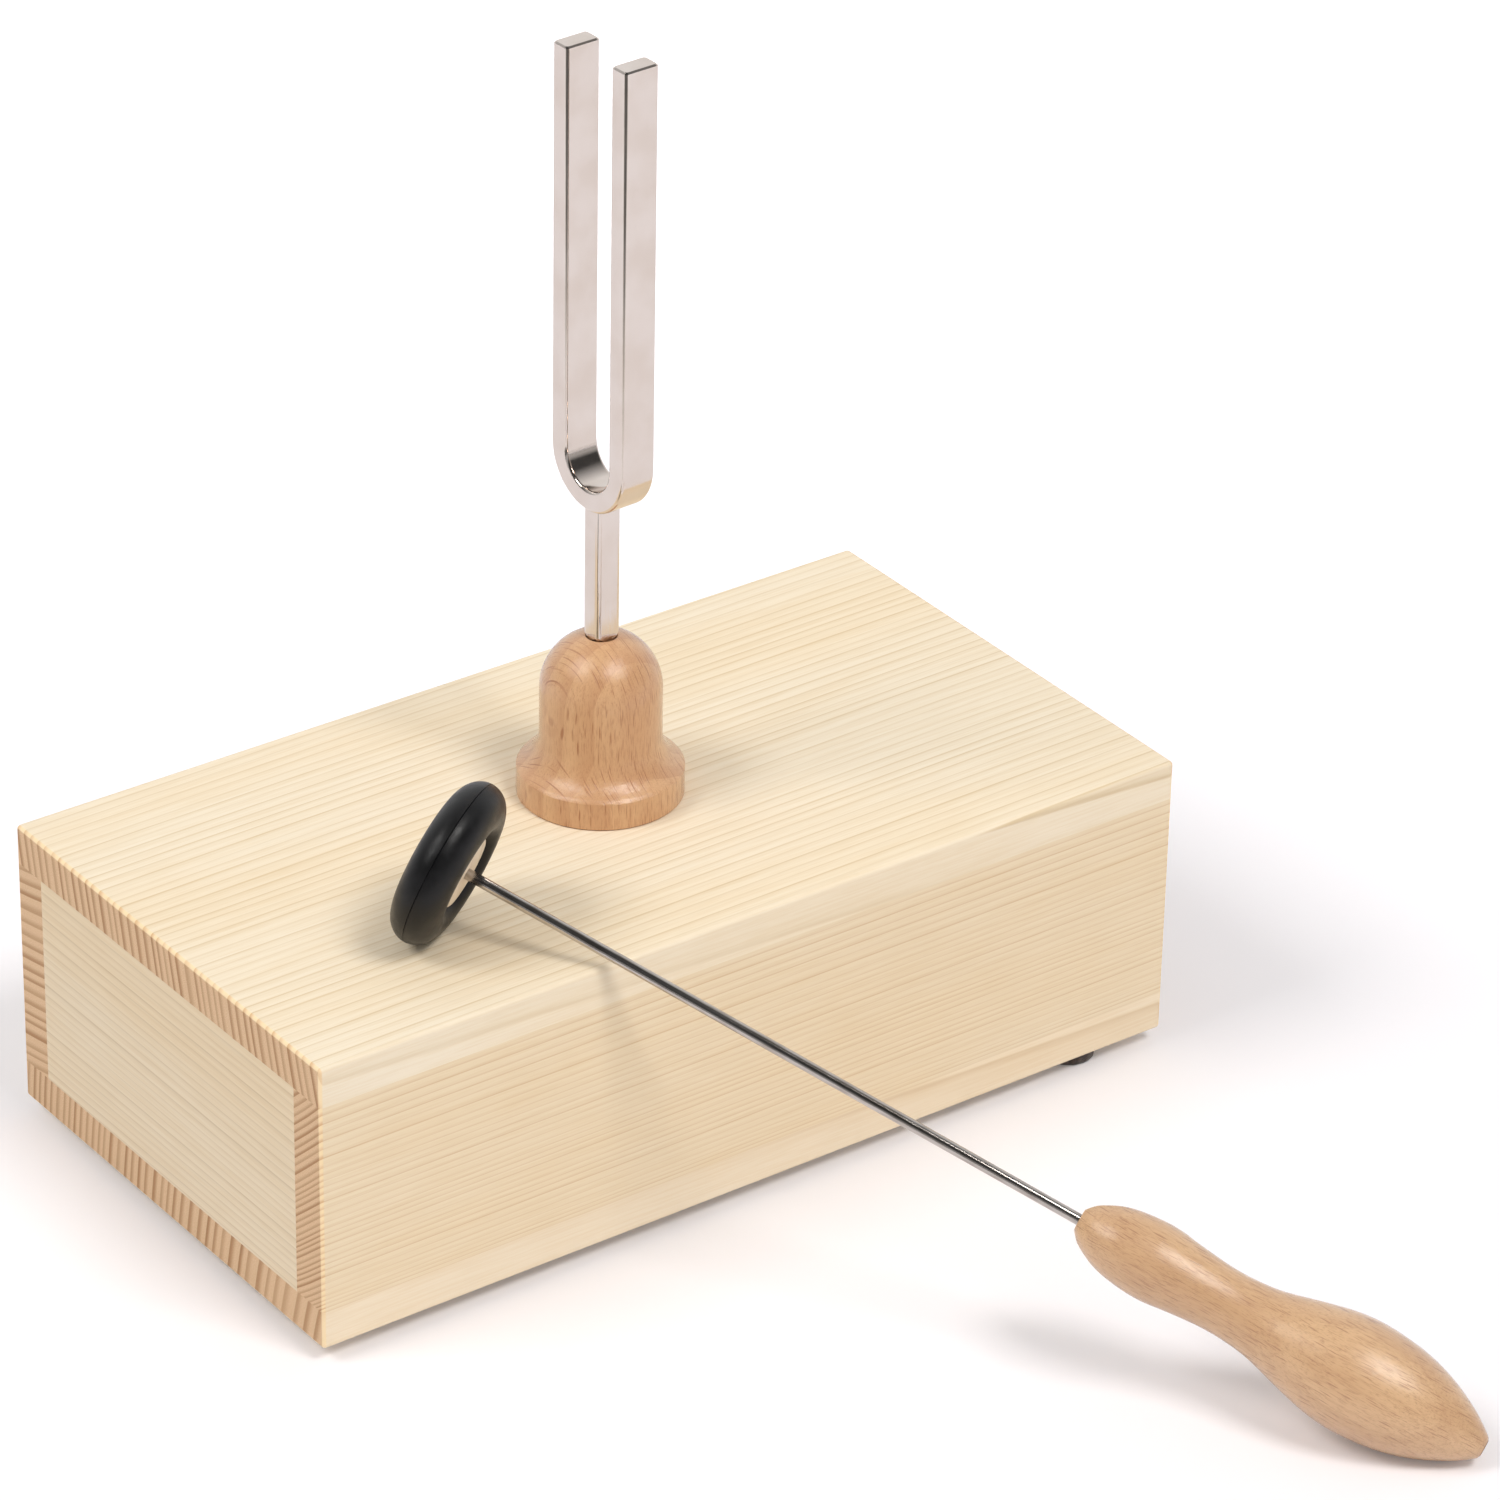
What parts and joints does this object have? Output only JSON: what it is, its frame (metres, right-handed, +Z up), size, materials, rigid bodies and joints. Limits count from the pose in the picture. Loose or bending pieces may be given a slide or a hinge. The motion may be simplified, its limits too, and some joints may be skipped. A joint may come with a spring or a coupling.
{
  "type": "tuning fork on resonance box",
  "caption": "Tuning fork in a bell-shaped wooden foot on a one-end-open wooden resonance box, with a rubber-ring striker leaning on it.",
  "frame": {"origin": "on the table that the pads and the striker's handle rest on, in the middle of the set's footprint; the box's own middle is 66.9 mm behind it", "axes": "+X along the box to its open end, +Y to the back, away from the striker's handle, +Z up along the fork"},
  "size_m": [0.18, 0.2302, 0.1998],
  "materials": {
    "spruce": "sanded, unvarnished, fine straight grain",
    "beech_foot": "satin lacquer",
    "beech_handle": "satin lacquer",
    "nickel_steel": "polished nickel plate",
    "bright_steel": "bright drawn rod",
    "black_rubber": "matt moulded rubber with a mould line",
    "felt": "dark felt"
  },
  "bodies": {
    "resonance_box": {"lid_board": "spruce", "base_board": "spruce", "front_side_board": "spruce", "rear_side_board": "spruce", "closed_end_panel": "spruce", "felt_pad_front_closed_end": "felt", "felt_pad_front_open_end": "felt", "felt_pad_rear_closed_end": "felt", "felt_pad_rear_open_end": "felt"},
    "peg": {"foot_peg": "beech_handle"},
    "foot": {"fork_foot": "beech_foot"},
    "fork": {"tuning_fork": "nickel_steel"},
    "striker": {"rubber_ring": "black_rubber", "striker_hub": "spruce", "striker_rod": "bright_steel", "striker_handle": "beech_handle"}
  },
  "joints": [
    {"name": "foot_lift", "type": "slide", "parent": "resonance_box", "child": "peg", "axis": [0, 0, 1], "range_m": [0, 0.03]},
    {"name": "foot_turn", "type": "hinge", "parent": "peg", "child": "foot", "pos_m": [0.0007, 0.06806, 0.0585], "axis": [0, 0, 1], "continuous": true},
    {"name": "fork_pull", "type": "slide", "parent": "foot", "child": "fork", "axis": [0, 0, 1], "range_m": [0, 0.04]},
    {"name": "striker_swing", "type": "hinge", "parent": "resonance_box", "child": "striker", "pos_m": [0.04002, -0.09647, 0.0114], "axis": [0.8406, 0.5417, 0], "range_deg": [0, 60]}
  ]
}
